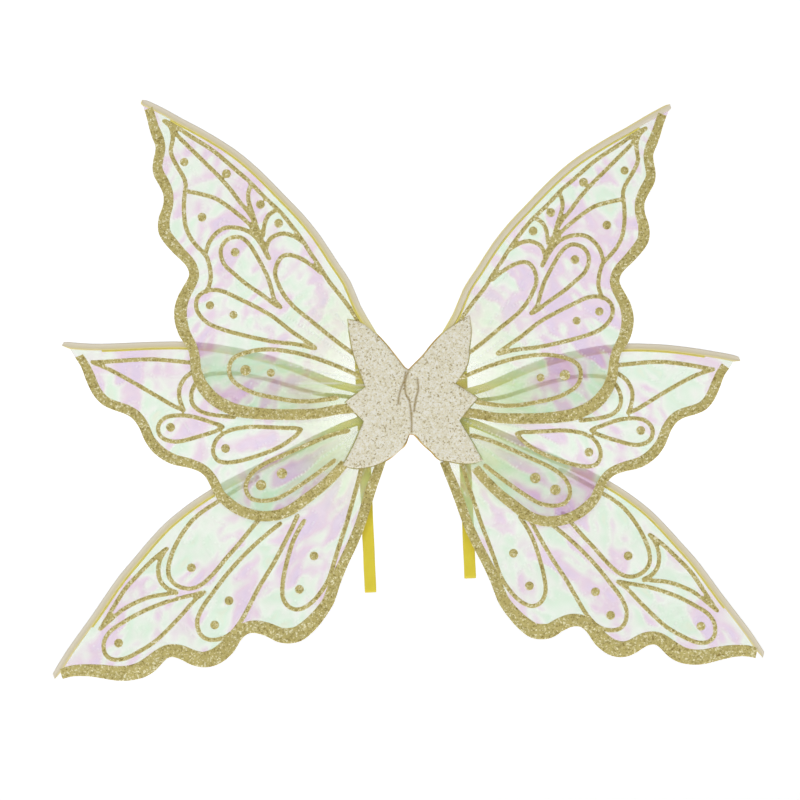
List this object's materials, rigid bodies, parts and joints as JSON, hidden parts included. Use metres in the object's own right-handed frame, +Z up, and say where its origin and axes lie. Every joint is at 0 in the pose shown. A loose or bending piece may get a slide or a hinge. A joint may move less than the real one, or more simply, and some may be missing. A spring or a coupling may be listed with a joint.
{
  "type": "fairy wings",
  "caption": "Wearable butterfly-shaped fairy wings: wired iridescent film panels with gold glitter tracery on a folding glitter back panel with elastic arm straps.",
  "frame": {"origin": "centre of the rear face of the back panel's middle strip, which lies against the wearer's back", "axes": "+X to the right seen from behind the wearer, +Y towards the wearer, +Z up"},
  "size_m": [0.8513, 0.0233, 0.6936],
  "materials": {
    "wing_film": "thin crinkled iridescent film, lavender to mint",
    "gold_glitter": "fine pale gold glitter",
    "silver_glitter": "coarse champagne silver glitter cloth",
    "pearl_hem": "pearly beige satin",
    "yellow_seam": "bright yellow welded seam",
    "steel_wire": "drawn wire",
    "core_foam": "firm foam",
    "cover_cloth": "golden yellow felt",
    "binding_thread": "yellow thread",
    "strap_elastic": "ribbed yellow elastic"
  },
  "bodies": {
    "spine": {"spine_core": "core_foam", "patch_centre": "silver_glitter", "back_cover_centre": "cover_cloth"},
    "left_panel": {"patch_left": "silver_glitter", "back_cover_left": "cover_cloth", "binding_left": "binding_thread", "strap_tabs_left": "binding_thread"},
    "right_panel": {"patch_right": "silver_glitter", "back_cover_right": "cover_cloth", "binding_right": "binding_thread", "strap_tabs_right": "binding_thread"},
    "left_upper_wing": {"left_upper_film": "wing_film", "left_upper_border": "gold_glitter", "left_upper_tracery": "gold_glitter", "left_upper_hem": "pearl_hem", "left_upper_seam": "yellow_seam", "left_upper_wire": "steel_wire", "left_upper_wire_eye": "steel_wire"},
    "left_mid_wing": {"left_mid_film": "wing_film", "left_mid_border": "gold_glitter", "left_mid_tracery": "gold_glitter", "left_mid_hem": "pearl_hem", "left_mid_seam": "yellow_seam", "left_mid_wire": "steel_wire", "left_mid_wire_eye": "steel_wire"},
    "left_lower_wing": {"left_lower_film": "wing_film", "left_lower_border": "gold_glitter", "left_lower_tracery": "gold_glitter", "left_lower_hem": "pearl_hem", "left_lower_seam": "yellow_seam", "left_lower_wire": "steel_wire", "left_lower_wire_eye": "steel_wire"},
    "right_upper_wing": {"right_upper_film": "wing_film", "right_upper_border": "gold_glitter", "right_upper_tracery": "gold_glitter", "right_upper_hem": "pearl_hem", "right_upper_seam": "yellow_seam", "right_upper_wire": "steel_wire", "right_upper_wire_eye": "steel_wire"},
    "right_mid_wing": {"right_mid_film": "wing_film", "right_mid_border": "gold_glitter", "right_mid_tracery": "gold_glitter", "right_mid_hem": "pearl_hem", "right_mid_seam": "yellow_seam", "right_mid_wire": "steel_wire", "right_mid_wire_eye": "steel_wire"},
    "right_lower_wing": {"right_lower_film": "wing_film", "right_lower_border": "gold_glitter", "right_lower_tracery": "gold_glitter", "right_lower_hem": "pearl_hem", "right_lower_seam": "yellow_seam", "right_lower_wire": "steel_wire", "right_lower_wire_eye": "steel_wire"},
    "left_strap": {"arm_strap_left": "strap_elastic"},
    "right_strap": {"arm_strap_right": "strap_elastic"}
  },
  "joints": [
    {"name": "left_fold", "type": "hinge", "parent": "spine", "child": "left_panel", "pos_m": [-0.007, -0.0142, 0], "axis": [0, 0, 1], "range_deg": [-10, 80]},
    {"name": "right_fold", "type": "hinge", "parent": "spine", "child": "right_panel", "pos_m": [0.007, -0.0142, 0], "axis": [0, 0, -1], "range_deg": [-10, 80]},
    {"name": "left_upper_swing", "type": "hinge", "parent": "left_panel", "child": "left_upper_wing", "pos_m": [-0.0302, 0, 0.0511], "axis": [0, 1, 0], "range_deg": [-8, 8]},
    {"name": "left_mid_swing", "type": "hinge", "parent": "left_panel", "child": "left_mid_wing", "pos_m": [-0.0247, 0, 0.00066], "axis": [0, 1, 0], "range_deg": [-8, 8]},
    {"name": "left_lower_swing", "type": "hinge", "parent": "left_panel", "child": "left_lower_wing", "pos_m": [-0.02749, 0, -0.02785], "axis": [0, 1, 0], "range_deg": [-8, 8]},
    {"name": "right_upper_swing", "type": "hinge", "parent": "right_panel", "child": "right_upper_wing", "pos_m": [0.027, 0, 0.045], "axis": [0, -1, 0], "range_deg": [-8, 8]},
    {"name": "right_mid_swing", "type": "hinge", "parent": "right_panel", "child": "right_mid_wing", "pos_m": [0.029, 0, -0.005], "axis": [0, -1, 0], "range_deg": [-8, 8]},
    {"name": "right_lower_swing", "type": "hinge", "parent": "right_panel", "child": "right_lower_wing", "pos_m": [0.034, 0, -0.03], "axis": [0, -1, 0], "range_deg": [-8, 8]},
    {"name": "left_strap_swing", "type": "hinge", "parent": "left_panel", "child": "left_strap", "pos_m": [-0.06, 0.0019, 0.088], "axis": [0.999, 0, 0.0436], "range_deg": [0, 35]},
    {"name": "right_strap_swing", "type": "hinge", "parent": "right_panel", "child": "right_strap", "pos_m": [0.0605, 0.0019, 0.09], "axis": [0.999, 0, 0.0436], "range_deg": [0, 35]}
  ]
}
